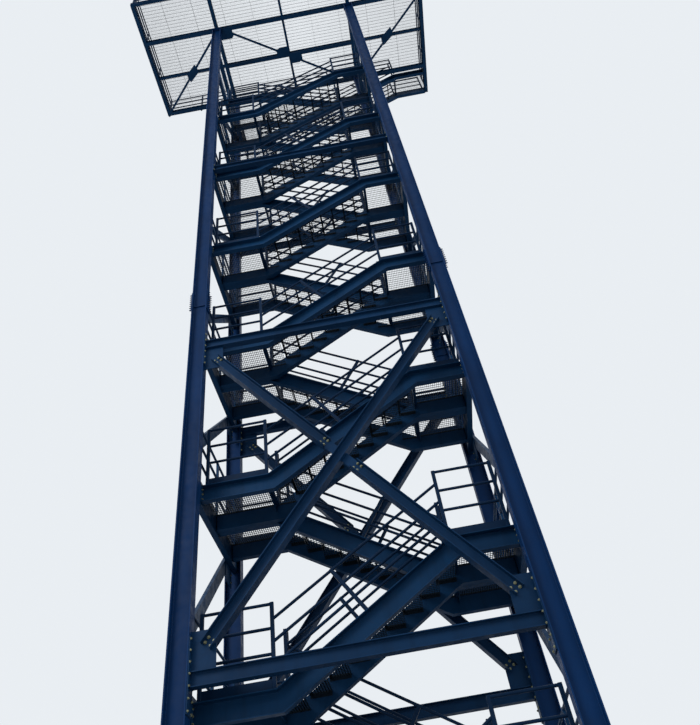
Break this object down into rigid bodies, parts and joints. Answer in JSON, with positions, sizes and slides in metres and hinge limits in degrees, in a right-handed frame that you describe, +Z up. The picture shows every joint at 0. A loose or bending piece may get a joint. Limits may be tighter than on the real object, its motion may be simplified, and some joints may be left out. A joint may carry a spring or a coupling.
{
  "type": "fairground stair tower",
  "caption": "Tall steel stair tower with dog-leg flights in two lanes, guard rails, braced columns and a grating platform on top.",
  "frame": {"origin": "centre of the underside of the base plate of the front left column", "axes": "+X to the right along the front, +Y from the front to the rear, +Z up"},
  "size_m": [9.319, 4.635, 26.8256],
  "materials": {
    "navy_steel": "semi-gloss navy-blue coating over galvanised steel",
    "dark_navy_steel": "semi-gloss dark navy-blue coating, mostly seen in shade",
    "guard_rail": "semi-gloss dark navy-blue coating on tubes",
    "galvanised_grating": "dark coated bar grating"
  },
  "bodies": {
    "root": {"front_left_column": "navy_steel", "front_right_column": "navy_steel", "rear_left_column": "navy_steel", "rear_right_column": "navy_steel", "front_flight_1": "dark_navy_steel", "front_flight_2": "dark_navy_steel", "front_flight_3": "dark_navy_steel", "front_flight_4": "dark_navy_steel", "front_flight_5": "dark_navy_steel", "front_flight_6": "dark_navy_steel", "front_flight_7": "dark_navy_steel", "rear_flight_1": "dark_navy_steel", "rear_flight_2": "dark_navy_steel", "rear_flight_3": "dark_navy_steel", "rear_flight_4": "dark_navy_steel", "rear_flight_5": "dark_navy_steel", "rear_flight_6": "dark_navy_steel", "rear_flight_7": "dark_navy_steel", "rear_flight_8": "dark_navy_steel", "front_guard_1": "guard_rail", "front_guard_2": "guard_rail", "front_guard_3": "guard_rail", "front_guard_4": "guard_rail", "front_guard_5": "guard_rail", "front_guard_6": "guard_rail", "front_guard_7": "guard_rail", "rear_guard_1": "guard_rail", "inner_guards_1": "guard_rail", "rear_guard_2": "guard_rail", "inner_guards_2": "guard_rail", "rear_guard_3": "guard_rail", "inner_guards_3": "guard_rail", "rear_guard_4": "guard_rail", "inner_guards_4": "guard_rail", "rear_guard_5": "guard_rail", "inner_guards_5": "guard_rail", "rear_guard_6": "guard_rail", "inner_guards_6": "guard_rail", "rear_guard_7": "guard_rail", "inner_guards_7": "guard_rail", "rear_guard_8": "guard_rail", "inner_guards_8": "guard_rail", "left_side_frame": "dark_navy_steel", "left_top_strut": "dark_navy_steel", "right_side_frame": "dark_navy_steel", "right_top_strut": "dark_navy_steel", "front_bracing": "navy_steel", "front_upper_beam": "navy_steel", "rear_bracing": "navy_steel", "rear_upper_beam": "navy_steel", "platform_frame": "dark_navy_steel", "platform_grating": "galvanised_grating", "platform_front_guard": "guard_rail", "platform_rear_guard": "guard_rail", "platform_left_guard": "guard_rail", "platform_right_guard": "guard_rail", "upper_stair": "dark_navy_steel", "upper_stair_near_guard": "guard_rail", "upper_stair_far_guard": "guard_rail", "rear_landing": "dark_navy_steel"}
  },
  "joints": []
}
